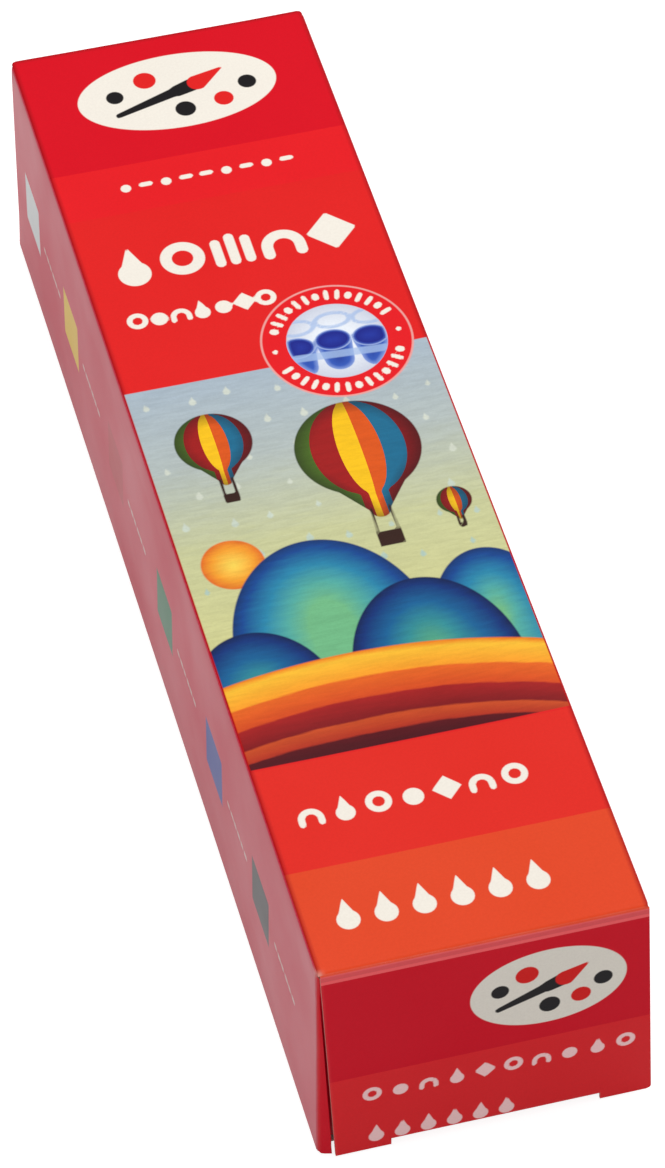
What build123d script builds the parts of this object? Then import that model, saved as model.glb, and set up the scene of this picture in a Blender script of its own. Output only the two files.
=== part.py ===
from build123d import *
import os
from math import cos, radians

# Frame: X across the box, Y along it with the near end at -Y, Z up.
# The origin is the centre of the underside, and the sizes are in millimetres.

# The carton outside, with both ends shut
length = 205.0
width = 52.5
height = 44.0
board = 0.45

# Creases, as outer radii
long_crease_radius = 0.55
closure_crease_radius = 0.9
dust_crease_radius = 0.8

# Closures: the panels that shut the two ends
layer_gap = 0.1
closure_lean = 2.1
shoulder_left_width = 9.0
shoulder_right_width = 8.4
shoulder_edge_height = 0.25
shoulder_corner_radius = 0.8
closure_ajar_angle = 3.4

# Tuck flaps
tuck_depth = 10.0
tuck_lift = 0.6
tuck_side_room = 1.6
tuck_side_taper = 1.2
tuck_corner_radius = 5.0
tuck_fold_ratio = 1 / 3

# Dust flaps
dust_flap_reach = 20.0
dust_flap_root_room = 0.1
dust_flap_top_room = 0.8
dust_flap_top_slope = 0.5
dust_flap_lower_room = 0.5
dust_flap_lower_rise = 1.2
dust_heel_reach = 1.7
dust_heel_step = 0.5
dust_corner_radius = 3.0
dust_open_ratio = 0.5

# Glue seam
glue_flap_width = 12.5
glue_flap_end_inset = 4.0
glue_flap_end_slant = 3.0
right_panel_edge_height = 0.15

# Strip of six pots hanging from one top plate
pot_count = 6
pot_wall = 0.9
pot_floor = 1.0
plate_thickness = 1.3
plate_corner_radius = 4.0
plate_back_room = 1.5
plate_front_room = 4.6
strip_end_room = 1.7
strip_seat_gap = 0.1
knuckle_depth = 3.3
knuckle_rise = 1.0
knuckle_width = 15.0

# Flip lids
lid_gap = 1.2
lid_overhang = 1.2
lid_headroom = 1.9
lid_plate = 1.0
plug_clearance = 0.1
plug_depth = 1.6
strap_width = 14.0
film_thickness = 0.6
film_length = 1.4
film_clearance = 0.03
tab_width = 13.0
tab_side_room = 1.8
tab_lip_depth = 1.4
tab_lip_thickness = 0.9
tab_corner_radius = 2.5

# Paint
paint_wall_gap = 0.05
paint_headroom = 3.5

colours = ["white", "yellow", "red", "green", "blue", "black"]

# Places that follow from the sizes above
half_width = width / 2
half_length = length / 2
crease_y = half_length - closure_crease_radius
crease_z = height - closure_crease_radius
flap_face_y = half_length - board - layer_gap
dust_crease_x = half_width - dust_crease_radius
dust_crease_y = flap_face_y - dust_crease_radius
tuck_under_z = board + tuck_lift
tuck_top_z = tuck_under_z + board
tuck_crease_z = tuck_under_z + closure_crease_radius
crease_half_span = half_width - long_crease_radius
mitre = cos(radians(45))
closure_hinge = (0, -crease_y - closure_crease_radius * mitre, crease_z + closure_crease_radius * mitre)
tuck_pivot_radius = closure_crease_radius - board
tuck_hinge = (0, -crease_y - tuck_pivot_radius * mitre, tuck_crease_z - tuck_pivot_radius * mitre)
dust_hinge = (
    -dust_crease_x - dust_crease_radius * mitre,
    -dust_crease_y - dust_crease_radius * mitre,
    0,
)
strip_base_z = tuck_top_z + strip_seat_gap
strip_top_z = height - tuck_top_z - lid_headroom - lid_plate
pot_height = strip_top_z - strip_base_z
pot_pitch = (length - 2 * strip_end_room) / pot_count
strip_half_span = pot_pitch * (pot_count - 1) / 2
lid_radius = (pot_pitch - lid_gap) / 2
pot_radius = lid_radius - lid_overhang
cavity_radius = pot_radius - pot_wall
plate_back = half_width - board - plate_back_room
plate_front = half_width - board - plate_front_room
hinge_x = plate_back - knuckle_depth
tab_x = half_width - board - tab_side_room


def slab(plane, outline, start, stop):
    """Extrude an outline drawn on a plane, from one offset along its normal to another."""
    return extrude(plane.offset(start) * outline, stop - start)


def across(outline, start, stop):
    """Extrude an outline drawn in Y and Z along the box's width."""
    return slab(Plane.YZ, outline, start, stop)


def along(outline, start, stop):
    """Extrude an outline drawn in X and Z along the box's length."""
    return slab(Plane.XZ, outline, -stop, -start)


def upward(outline, start, stop):
    """Extrude an outline drawn in X and Y up the box's height."""
    return slab(Plane.XY, outline, start, stop)


def folded_board(radius, start_angle, sweep):
    """Section of the board where it bends: a part of a ring about the crease's centre."""
    outer = CenterArc((0, 0), radius, start_angle, sweep)
    inner = CenterArc((0, 0), radius - board, start_angle, sweep)
    start = Line(outer @ 0, inner @ 0)
    stop = Line(outer @ 1, inner @ 1)
    return make_face([*outer.edges(), *inner.edges(), *start.edges(), *stop.edges()])


def far_end(piece):
    """Turn a piece of the near end over to the far end, which is the same with top and bottom swapped."""
    return piece.rotate(Axis((0, 0, height / 2), (1, 0, 0)), 180)


def other_side(piece):
    """Mirror a piece of the left side to the right side."""
    return mirror(piece, about=Plane.YZ)


def sleeve_section(right_face):
    """Ring of board seen along the box, with its right outer face at the given X."""
    ring_width = right_face + half_width
    centre = (right_face - ring_width / 2, height / 2)
    outer = RectangleRounded(ring_width, height, long_crease_radius)
    inner = RectangleRounded(ring_width - 2 * board, height - 2 * board, long_crease_radius - board)
    return Pos(*centre) * (outer - inner)


def closure_crease_half(left, right):
    """The top panel's share of the near closure's crease, down to the 45 degree line."""
    bend = Pos(-crease_y, crease_z) * folded_board(closure_crease_radius, 90, 45)
    return across(bend, left, right)


def top_panel():
    """Top of the sleeve, with half of each lengthwise crease and of the near closure's crease."""
    x = crease_half_span
    z = height - long_crease_radius
    spread = long_crease_radius + board
    region = Polygon((-x, z), (x, z), (x + spread, z + spread), (-x - spread, z + spread), align=None)
    sheet = along(sleeve_section(half_width) & region, -crease_y, flap_face_y)
    return sheet + closure_crease_half(-crease_half_span, crease_half_span)


def bottom_panel():
    """Bottom of the sleeve: its right crease lies inside the right panel, where the glue flap rises."""
    left = crease_half_span
    right = crease_half_span - board
    z = long_crease_radius
    spread = long_crease_radius + board
    region = Polygon(
        (-left, z), (-left - spread, z - spread), (right + spread, z - spread), (right, z), align=None
    )
    sheet = along(sleeve_section(half_width - board) & region, -flap_face_y, crease_y)
    return sheet + far_end(closure_crease_half(-left, right))


def dust_crease_half():
    """The left panel's share of the near dust flap's crease, to the 45 degree line."""
    bend = Pos(-dust_crease_x, -dust_crease_y) * folded_board(dust_crease_radius, 180, 45)
    return upward(bend, dust_flap_bottom(), dust_flap_top(dust_crease_radius))


def left_panel():
    """Left side of the sleeve, with half of the two dust flaps' creases."""
    x = half_width - long_crease_radius
    low = long_crease_radius
    high = height - long_crease_radius
    spread = long_crease_radius + board
    region = Polygon(
        (-x, low), (-x, high), (-x - spread, high + spread), (-x - spread, low - spread), align=None
    )
    sheet = along(sleeve_section(half_width) & region, -dust_crease_y, dust_crease_y)
    return sheet + dust_crease_half() + far_end(dust_crease_half())


def right_panel():
    """Right side of the sleeve: its lower edge is cut raw, outside the glue flap."""
    x = half_width - long_crease_radius
    middle = height / 2
    high = height - long_crease_radius
    spread = long_crease_radius + board
    region = Polygon((x, middle), (x + spread, middle), (x + spread, high + spread), (x, high), align=None)
    lower = Pos(half_width - board, right_panel_edge_height) * Rectangle(
        board, middle - right_panel_edge_height, align=(Align.MIN, Align.MIN)
    )
    sheet = along((sleeve_section(half_width) & region) + lower, -dust_crease_y, dust_crease_y)
    near_crease = other_side(dust_crease_half())
    return sheet + near_crease + far_end(near_crease)


def glue_flap():
    """Flap that rises from the bottom panel and is glued inside the right panel, with slanted ends."""
    x = crease_half_span - board
    z = long_crease_radius
    spread = long_crease_radius + board
    region = Polygon(
        (x, z), (x + spread, z - spread), (x + spread, glue_flap_width), (x, glue_flap_width), align=None
    )
    reach = half_length - glue_flap_end_inset
    sheet = along(sleeve_section(half_width - board) & region, -reach, reach)
    outline = Polygon(
        (-reach, 0),
        (reach, 0),
        (reach - glue_flap_end_slant, glue_flap_width),
        (-reach + glue_flap_end_slant, glue_flap_width),
        align=None,
    )
    return sheet & across(outline, 0, half_width)


def fold_ends(lean):
    """X of the two slits that part the closure's shoulders from its fold."""
    return -crease_half_span + lean + shoulder_left_width, crease_half_span + lean - shoulder_right_width


def closure(lean):
    """Near closure in its shut place: a panel with a fold at its foot between two raw shoulders."""
    left_low = -crease_half_span + lean
    right_low = crease_half_span + lean
    fold_left, fold_right = fold_ends(lean)
    outline = Polygon(
        (-crease_half_span, crease_z),
        (left_low, shoulder_edge_height),
        (fold_left, shoulder_edge_height),
        (fold_left, tuck_crease_z),
        (fold_right, tuck_crease_z),
        (fold_right, shoulder_edge_height),
        (right_low, shoulder_edge_height),
        (crease_half_span, crease_z),
        align=None,
    )
    lower_right = outline.vertices().sort_by_distance((right_low, shoulder_edge_height, 0))[0]
    outline = fillet(lower_right, shoulder_corner_radius)
    panel = along(outline, -half_length, -half_length + board)
    upper_bend = Pos(-crease_y, crease_z) * folded_board(closure_crease_radius, 135, 45)
    lower_bend = Pos(-crease_y, tuck_crease_z) * folded_board(closure_crease_radius, 180, 45)
    upper = across(upper_bend, -crease_half_span, crease_half_span)
    lower = across(lower_bend, fold_left, fold_right)
    return panel + upper + lower


def tuck_flap(lean):
    """Near tuck flap in its shut place: half of the fold, and a flat flap with rounded inner corners."""
    fold_left, fold_right = fold_ends(lean)
    bend = Pos(-crease_y, tuck_crease_z) * folded_board(closure_crease_radius, 225, 45)
    side = half_width - board - tuck_side_room
    inner_y = -half_length + tuck_depth
    outline = Polygon(
        (-side, -crease_y),
        (side, -crease_y),
        (side - tuck_side_taper, inner_y),
        (-side + tuck_side_taper, inner_y),
        align=None,
    )
    inner_corners = outline.vertices().sort_by(Axis.Y)[-2:]
    outline = fillet(inner_corners, tuck_corner_radius)
    return upward(outline, tuck_under_z, tuck_top_z) + across(bend, fold_left, fold_right)


def dust_flap_bottom():
    """Height of the dust flap's heel, just over the lengthwise crease."""
    return long_crease_radius + dust_flap_root_room


def dust_flap_top(reach):
    """Height of the dust flap's upper edge, which falls away to open clear of the closure."""
    return crease_z - dust_flap_top_room - dust_flap_top_slope * reach


def dust_flap():
    """Near left dust flap in its shut place, with a heel at its root and a slanted upper edge."""
    root = -dust_crease_x
    free = -half_width + dust_flap_reach
    heel = -half_width + dust_heel_reach
    low = tuck_top_z + dust_flap_lower_room
    outline = Polygon(
        (root, dust_flap_bottom()),
        (heel, dust_flap_bottom()),
        (heel + dust_heel_step, low),
        (free, low + dust_flap_lower_rise),
        (free, dust_flap_top(dust_flap_reach)),
        (root, dust_flap_top(dust_crease_radius)),
        align=None,
    )
    free_corners = outline.vertices().sort_by(Axis.X)[-2:]
    outline = fillet(free_corners, dust_corner_radius)
    sheet = along(outline, -flap_face_y, -flap_face_y + board)
    bend = Pos(-dust_crease_x, -dust_crease_y) * folded_board(dust_crease_radius, 225, 45)
    return sheet + upward(bend, dust_flap_bottom(), dust_flap_top(dust_crease_radius))


def swing(piece, hinge, direction, angle):
    """Turn a piece about a hinge line."""
    return piece.rotate(Axis(hinge, direction), angle)


def near_closure():
    """The near closure as the photo shows it, sprung a little open."""
    return swing(closure(closure_lean), closure_hinge, (-1, 0, 0), closure_ajar_angle)


def near_tuck_flap():
    """The near tuck flap, carried out with its closure and folded in a third as far."""
    folded = swing(tuck_flap(closure_lean), tuck_hinge, (1, 0, 0), closure_ajar_angle * tuck_fold_ratio)
    return swing(folded, closure_hinge, (-1, 0, 0), closure_ajar_angle)


def near_left_dust_flap():
    """The near left dust flap, opened half as far as the closure in front of it."""
    return swing(dust_flap(), dust_hinge, (0, 0, -1), closure_ajar_angle * dust_open_ratio)


def pot_places():
    """Y of each pot's axis, from the far end to the near end."""
    return [strip_half_span - pot_pitch * n for n in range(pot_count)]


def top_plate():
    """Plate that the pots hang from, with room behind them for the lids' hinges."""
    outline = Rectangle(plate_back + plate_front, 2 * (strip_half_span + lid_radius))
    outline = Pos((plate_front - plate_back) / 2, 0) * fillet(outline.vertices(), plate_corner_radius)
    return upward(outline, pot_height - plate_thickness, pot_height)


def hinge_knuckle():
    """Low rib on the plate, which the film of one lid turns against."""
    face = hinge_x + film_thickness / 2 + film_clearance
    corner = (Align.MIN, Align.MIN)
    section = Pos(-plate_back, pot_height) * Rectangle(plate_back - face, knuckle_rise, align=corner)
    return along(section, -knuckle_width / 2, knuckle_width / 2)


def pot_strip():
    """The moulded strip: six open pots under one plate, with a knuckle behind each."""
    strip = top_plate()
    for y in pot_places():
        strip += Pos(0, y, 0) * upward(Circle(pot_radius), 0, pot_height)
        strip += Pos(0, y, 0) * hinge_knuckle()
        strip -= Pos(0, y, 0) * upward(Circle(cavity_radius), pot_floor, pot_height)
    return Pos(0, 0, strip_base_z) * strip


def lid_outline():
    """A lid's plate from above: a disc with its strap's root behind it and a thumb tab in front."""
    strap_root = hinge_x - film_length
    strap = Pos(-strap_root / 2, 0) * Rectangle(strap_root, strap_width)
    tab = Pos(tab_x / 2, 0) * Rectangle(tab_x, tab_width)
    tab = fillet(tab.vertices().sort_by(Axis.X)[-2:], tab_corner_radius)
    return Circle(lid_radius) + strap + tab


def lid_film():
    """Thin end of the strap, rounded where it turns on the hinge line."""
    middle = lid_plate / 2
    film = Pos(-hinge_x, middle) * Rectangle(film_length, film_thickness, align=(Align.MIN, Align.CENTER))
    end = Pos(-hinge_x, middle) * Circle(film_thickness / 2)
    return along(film + end, -strap_width / 2, strap_width / 2)


def lid():
    """One lid on its pot's axis, shut: its plate, its film, the plug in the pot and the tab's lip."""
    plate = upward(lid_outline(), 0, lid_plate)
    plug = upward(Circle(cavity_radius - plug_clearance), -plug_depth, 0)
    lip = Pos(tab_x, 0) * Rectangle(
        tab_lip_thickness, tab_width - 2 * tab_corner_radius, align=(Align.MAX, Align.CENTER)
    )
    return plate + lid_film() + plug + upward(lip, lid_plate - tab_lip_depth, 0)


def paint():
    """One pot's paint, up to its fill height."""
    return upward(Circle(cavity_radius - paint_wall_gap), pot_floor, pot_height - paint_headroom)


def build():
    """Every piece of the box in its place, by name."""
    pieces = {
        "top_panel": top_panel(),
        "left_panel": left_panel(),
        "bottom_panel": bottom_panel(),
        "right_panel": right_panel(),
        "glue_flap": glue_flap(),
        "near_closure": near_closure(),
        "near_tuck_flap": near_tuck_flap(),
        "near_left_dust_flap": near_left_dust_flap(),
        "near_right_dust_flap": other_side(near_left_dust_flap()),
        "far_closure": far_end(closure(0)),
        "far_tuck_flap": far_end(tuck_flap(0)),
        "far_left_dust_flap": far_end(dust_flap()),
        "far_right_dust_flap": far_end(other_side(dust_flap())),
        "pot_strip": pot_strip(),
    }
    for colour, y in zip(colours, pot_places()):
        pieces[colour + "_lid"] = Pos(0, y, strip_top_z) * lid()
        pieces[colour + "_paint"] = Pos(0, y, strip_base_z) * paint()
    return pieces


os.makedirs("parts", exist_ok=True)
for name, piece in build().items():
    export_step(piece, f"parts/{name}.step")
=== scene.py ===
"""Looks of a gouache paint box: a printed folding carton with a strip of flip-lid pots inside.

Sizes in this file are millimetres unless a name says otherwise. The frame is the CAD's:
X across the box, Y from its near end to its far end, Z up.
"""

import functools
import math

import bmesh
import bpy
import numpy as np
from bpy.props import FloatProperty, FloatVectorProperty, PointerProperty
from mathutils import Euler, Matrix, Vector


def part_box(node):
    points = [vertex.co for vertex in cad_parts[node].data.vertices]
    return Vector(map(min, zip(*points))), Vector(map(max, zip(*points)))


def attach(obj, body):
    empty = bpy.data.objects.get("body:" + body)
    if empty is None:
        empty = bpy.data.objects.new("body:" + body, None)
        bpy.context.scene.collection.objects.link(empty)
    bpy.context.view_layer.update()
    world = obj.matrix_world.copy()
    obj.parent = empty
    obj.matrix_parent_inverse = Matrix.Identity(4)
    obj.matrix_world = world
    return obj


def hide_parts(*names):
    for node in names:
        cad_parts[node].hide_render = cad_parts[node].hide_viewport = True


bl_info = {
    "name": "Gouache Paint Box",
    "version": (1, 0, 0),
    "blender": (4, 5, 0),
    "location": "View3D > Sidebar > Paint Box",
    "description": "Builds the printed board, pots, lids and paint of a gouache box",
    "category": "Object",
}

MM = 0.001
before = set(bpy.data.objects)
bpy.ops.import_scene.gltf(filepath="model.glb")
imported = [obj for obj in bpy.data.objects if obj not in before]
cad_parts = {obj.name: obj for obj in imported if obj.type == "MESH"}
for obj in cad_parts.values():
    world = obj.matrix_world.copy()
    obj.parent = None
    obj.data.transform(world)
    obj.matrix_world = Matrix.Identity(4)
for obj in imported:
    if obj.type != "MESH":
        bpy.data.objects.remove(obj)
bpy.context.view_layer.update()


def box_mm(node):
    """Lowest and highest corner of a CAD node, in millimetres."""
    low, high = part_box(node)
    return np.array(low) / MM, np.array(high) / MM


# The carton's outside, read from the frame
SIDE = box_mm("left_panel")[0][0] * -1
END = box_mm("far_closure")[1][1]
TOP = box_mm("top_panel")[1][2]
FLAP_END = box_mm("top_panel")[1][1]
GLUE_FACE = box_mm("glue_flap")[1][0]
TUCK_DEPTH = END - box_mm("far_tuck_flap")[0][1]
DUST_REACH = SIDE + box_mm("far_left_dust_flap")[1][0]

# Half of the length that the six pots share
POT_SPAN = box_mm("pot_strip")[1][1] + 0.6

# Thickness and bends of the board, as outer radii, and the lines where its flat parts end
BOARD = 0.45
LONG_RADIUS = 0.55
CLOSURE_RADIUS = 0.9
DUST_RADIUS = 0.8
FLAT_X = SIDE - LONG_RADIUS
DUST_X = SIDE - DUST_RADIUS
FLAT_Y = END - CLOSURE_RADIUS
FLAT_Z = TOP - CLOSURE_RADIUS
DUST_Y = FLAP_END - DUST_RADIUS
TUCK_Z = 1.95
QUARTER = math.pi / 4
BEND_PITCH = 0.15

# Mitre points that the end pieces turn about: Y and Z of the closure's and its tuck's, X and Y of the dust flap's
MITRE = math.cos(QUARTER)
TUCK_RADIUS = CLOSURE_RADIUS - BOARD
CLOSURE_PIVOT = (-FLAT_Y - CLOSURE_RADIUS * MITRE, FLAT_Z + CLOSURE_RADIUS * MITRE)
TUCK_PIVOT = (-FLAT_Y - TUCK_RADIUS * MITRE, TUCK_Z - TUCK_RADIUS * MITRE)
DUST_PIVOT = (-DUST_X - DUST_RADIUS * MITRE, -DUST_Y - DUST_RADIUS * MITRE)

# Closure outline: how far the near one leans to the right at its foot, and its shoulders
LEAN = 2.08
LEFT_SHOULDER = 9.0
RIGHT_SHOULDER = 8.4
RIGHT_FLARE = 0.39
SHOULDER_Z = 0.25
FAR_SHOULDER_Z = 0.9
SHOULDER_ROUND = 0.8

# The near left dust flap's belly: its least width, its drop at the end and its gaps to the closure's edge
BELLY_LEAST = 0.75
BELLY_DROP = 0.15
BELLY_GAP = 0.08
BELLY_FOOT_GAP = 0.09

# The belly's depth at the crease as a share of its full depth, and where its rise, its drop and the part
# beside it end in the columns before they are moved
BELLY_AT_CREASE = 0.84
RISE_END, DROP_END, BESIDE_END = 2.0, 2.1, 3.0


def setting(name, description, default, **kind):
    """A number that a user may change."""
    return FloatProperty(name=name, description=description, default=default, **kind)


def colour_setting(name, description, default):
    """A colour that a user may change, as it looks on screen."""
    return FloatVectorProperty(
        name=name, description=description, default=default, subtype="COLOR_GAMMA", min=0, max=1,
    )


class BoxShape(bpy.types.PropertyGroup):
    """Sizes of the board that a user may change."""

    board: setting("Board", "Thickness of the carton board in mm", BOARD)
    pitch: setting("Pitch", "Spacing of the printed sheets' points in mm", 0.5)
    ajar: setting("Ajar", "How far the near closure stands open, as in the CAD", math.radians(3.4), subtype="ANGLE")
    warp: setting("Warp", "Depth of the gentle waves in the panels in mm", 0.14)
    corner_bulge: setting("Corner bulge", "How far the near left corner bellies out at its foot in mm", 2.1)


class PrintColours(bpy.types.PropertyGroup):
    """Inks of the print. Three also carry painted light: shade along the top's folds, highlight over the near bend,
    and bounce light on the near end's lower band.
    """

    deep_red: colour_setting("Deep red", "The top panel's far band", (0.83, 0.02, 0.11))
    middle_red: colour_setting("Middle red", "The narrow band after it", (0.88, 0.09, 0.12))
    bright_red: colour_setting("Bright red", "The title's field", (0.865, 0.115, 0.11))
    orange: colour_setting("Orange", "The near band", (0.87, 0.27, 0.13))
    crimson: colour_setting("Crimson", "The sides and the ends", (0.84, 0.03, 0.14))
    pink: colour_setting("Pink", "The marks low on the near end", (1.0, 0.83, 0.83))
    # Pale red over the near closure's top bend: thinned ink on the fold, made lighter as painted highlight on the
    # bend.
    bend_pale_and_highlit: colour_setting("Bend red", "Thinned ink and painted highlight over the near bend", (0.99, 0.38, 0.40))
    # Painted shade: a darker red within about a millimetre of the top panel's side and far folds.
    painted_fold_shade: colour_setting("Fold shade red", "Painted shade along the top panel's folds", (0.62, 0.05, 0.08))
    # End red: the lower band's own lighter print, lightened further as painted bounce light from the floor.
    lower_band_and_bounce_light: colour_setting("End red", "The lower band of the near closure", (0.888, 0.145, 0.17))
    cream: colour_setting("Cream", "The unprinted marks", (0.93, 0.905, 0.86))
    ink: colour_setting("Black", "The badge's brush", (0.07, 0.06, 0.07))


PAINTS = ("white", "yellow", "red", "green", "blue", "black")


class PaintColours(bpy.types.PropertyGroup):
    """The six gouache colours, in the pots and in the printed squares."""

    white: colour_setting("White", "First pot", (0.93, 0.94, 0.94))
    yellow: colour_setting("Yellow", "Second pot", (0.97, 0.80, 0.10))
    red: colour_setting("Red", "Third pot", (0.76, 0.06, 0.16))
    green: colour_setting("Green", "Fourth pot", (0.04, 0.42, 0.26))
    blue: colour_setting("Blue", "Fifth pot", (0.06, 0.20, 0.58))
    black: colour_setting("Black", "Last pot", (0.06, 0.06, 0.07))


class StageSettings(bpy.types.PropertyGroup):
    """Camera, lamps and floor."""

    distance: setting("Distance", "Camera to aim point", 0.9178, unit="LENGTH")
    azimuth: setting("Azimuth", "Camera's turn to the box's left", math.radians(-15.67), subtype="ANGLE")
    elevation: setting("Elevation", "Camera's height above the horizon", math.radians(48.94), subtype="ANGLE")
    roll: setting("Roll", "Camera's turn about its own line", math.radians(0.674), subtype="ANGLE")
    lens: setting("Lens", "Focal length in mm", 171.95)
    world: setting("World", "Strength of the light from all round", 0.42)
    key: setting("Key", "Power of the soft lamp above, in watts", 9.8)
    fill: setting("Fill", "Power of the soft lamp in front, in watts", 4.5)


# Shapes on the print: each gives the distance in mm from a point to its edge, positive inside


def disc(x, y, centre, radius):
    """Radius less the distance from the centre."""
    return radius - np.hypot(x - centre[0], y - centre[1])


def oval(x, y, centre, radii):
    """Scaled distance from the centre, divided by its own slope so that it is near to millimetres."""
    across, down = x - centre[0], y - centre[1]
    scaled = np.hypot(across / radii[0], down / radii[1]) + 1e-9
    slope = np.hypot(across / radii[0] ** 2, down / radii[1] ** 2) + 1e-9
    return scaled * (1 - scaled) / slope


def bar(x, y, start, stop, radius, end_radius=None):
    """Round-ended stroke: radius less the distance to the nearest point of a straight line."""
    end_radius = radius if end_radius is None else end_radius
    along_x, along_y = stop[0] - start[0], stop[1] - start[1]
    share = ((x - start[0]) * along_x + (y - start[1]) * along_y) / (along_x**2 + along_y**2)
    share = np.clip(share, 0, 1)
    away = np.hypot(x - start[0] - share * along_x, y - start[1] - share * along_y)
    return radius + (end_radius - radius) * share - away


def block(x, y, centre, half_width, half_height):
    """Rectangle: the smaller of the distances to its two pairs of sides."""
    return np.minimum(half_width - np.abs(x - centre[0]), half_height - np.abs(y - centre[1]))


def joined(*shapes):
    """Union of shapes."""
    return functools.reduce(np.maximum, shapes)


def within(*shapes):
    """Part that all the shapes share."""
    return functools.reduce(np.minimum, shapes)


def drop(x, y, centre, size):
    """Paint drop with its tip towards the far end: a disc and a stroke that thins to a point."""
    foot = (centre[0], centre[1] + 0.18 * size)
    tip = (centre[0], centre[1] - 0.52 * size)
    return joined(disc(x, y, foot, 0.33 * size), bar(x, y, foot, tip, 0.31 * size, 0.02 * size))


def ornament(x, y, kind, centre, size):
    """One plain mark in a square place: a drop, ring, disc, dash, diamond, arch or bars."""
    cx, cy = centre
    half = size / 2
    line = 0.13 * size
    if kind == "drop":
        return drop(x, y, centre, 1.12 * size)
    if kind == "ring":
        return line - np.abs(np.hypot(x - cx, y - cy) - half + line)
    if kind == "disc":
        return disc(x, y, (cx, cy + 0.1 * size), 0.4 * size)
    if kind == "dash":
        return bar(x, y, (cx - 0.32 * size, cy), (cx + 0.32 * size, cy), 0.22 * size)
    if kind == "diamond":
        return (half - np.abs(x - cx) - np.abs(y - cy)) / math.sqrt(2) + 0.05 * size
    if kind == "arch":
        hoop = line - np.abs(np.hypot(x - cx, y - cy - 0.2 * size) - half + line)
        legs = [bar(x, y, (cx + side * (half - line), cy + 0.2 * size), (cx + side * (half - line), cy + 0.4 * size),
                    line) for side in (-1, 1)]
        return joined(within(hoop, cy + 0.2 * size - y), *legs)
    if kind == "bars":
        return joined(*[bar(x, y, (cx + n * 0.34 * size, cy + 0.37 * size),
                            (cx + n * 0.34 * size, cy - (0.37 - 0.12 * abs(n)) * size), 0.115 * size)
                        for n in (-1, 0, 1)])
    raise ValueError(kind)


def ornament_row(x, y, start, stop, level, size, kinds):
    """Evenly spaced marks between two places across the panel, with their kinds named in one string."""
    kinds = kinds.split()
    places = np.linspace(start + size / 2, stop - size / 2, len(kinds))
    return joined(*[ornament(x, y, kind, (place, level), size) for kind, place in zip(kinds, places)])


def badge(x, y, centre, radii):
    """Oval plate with a bold brush across it: its cream plate, its black marks and its red marks."""
    wide, tall = radii

    def at(place):
        return centre[0] + place[0] * wide, centre[1] + place[1] * tall

    def dot(place, size):
        return disc(x, y, at(place), size * tall)

    def stroke(start, stop, size, end_size):
        return bar(x, y, at(start), at(stop), size * tall, end_size * tall)

    handle = stroke((-0.64, 0.40), (-0.02, 0.02), 0.06, 0.12)
    ferrule = stroke((0.0, 0.01), (0.16, -0.09), 0.15, 0.17)
    tuft = stroke((0.22, -0.13), (0.50, -0.42), 0.2, 0.02)
    black = [dot((-0.62, -0.10), 0.17), dot((0.02, 0.52), 0.2), dot((0.70, 0.08), 0.18)]
    red = [dot((-0.28, -0.42), 0.22), dot((0.42, 0.42), 0.19)]
    return oval(x, y, centre, radii), joined(handle, ferrule, *black), joined(tuft, *red)


# The top panel's print, in mm from its left edge and from its far end
BANDS = (0.0, 29.6, 40.3, 81.6, 163.8, 184.4)
PICTURE = (BANDS[3], BANDS[4])
BADGE_PLACE = (26.4, 14.1)
BADGE_RADII = (17.5, 9.0)
ROUNDEL = (37.5, 78.5)
ROUNDEL_RADIUS = 12.75
WINDOW_RADIUS = 8.4


def balloon(x, y, centre, radius):
    """Air balloon: its bag, the place across its gores from -1 to 1, and its basket with ropes."""
    cx, cy = centre
    bag = joined(
        disc(x, y, centre, radius),
        bar(x, y, (cx, cy + 0.3 * radius), (cx, cy + 1.35 * radius), 0.94 * radius, 0.16 * radius),
    )
    half_chord = np.sqrt(np.maximum(1.02 * radius**2 - (y - cy) ** 2, (0.3 * radius) ** 2))
    gore = np.clip((x - cx) / half_chord, -1, 1)
    basket = block(x, y, (cx, cy + 1.95 * radius), 0.2 * radius, 0.15 * radius)
    ropes = [
        bar(x, y, (cx + side * 0.15 * radius, cy + 1.3 * radius), (cx + side * 0.17 * radius, cy + 1.9 * radius), 0.24)
        for side in (-1, 1)
    ]
    return bag, gore, joined(basket, *ropes)


def picture_print(x, y):
    """A generic landscape: balloons and pale drops in the sky, round hills, a low sun and striped fields."""
    balloons = [((34.5, 102.5), 10.4), ((12.0, 95.5), 6.4), ((46.5, 117.5), 2.9)]
    bags, gores, baskets = zip(*[balloon(x, y, centre, radius) for centre, radius in balloons])
    nearest = np.argmax(np.stack(bags), axis=0)
    gore = np.take_along_axis(np.stack(gores), nearest[None], axis=0)[0]
    far_hills = joined(oval(x, y, (20.5, 143.0), (16.5, 23.0)), oval(x, y, (47.0, 147.0), (11.0, 18.5)))
    near_hills = joined(oval(x, y, (6.5, 152.5), (12.0, 16.0)), oval(x, y, (35.0, 152.5), (14.0, 20.5)))
    fields = oval(x, y, (21.0, 176.0), (58.0, 31.5))
    sun = disc(x, y, (8.5, 122.0), 5.2)
    drops = [
        drop(x, y, (3.2 + 7.2 * column + (3.6 if row % 2 else 0.0) + 0.7 * math.sin(3.1 * row + 2.3 * column),
                    85.4 + 6.9 * row + 0.8 * math.sin(2.7 * column + row)), 1.7 + 0.3 * math.sin(5 * row + column))
        for row in range(11)
        for column in range(8)
    ]
    return {
        "picture": np.minimum(y - PICTURE[0], PICTURE[1] - y),
        "drops": joined(*drops),
        "sun": sun,
        "far_hills": far_hills,
        "near_hills": near_hills,
        "fields": fields,
        "bags": joined(*bags),
        "gore": gore,
        "baskets": joined(*baskets),
    }


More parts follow.
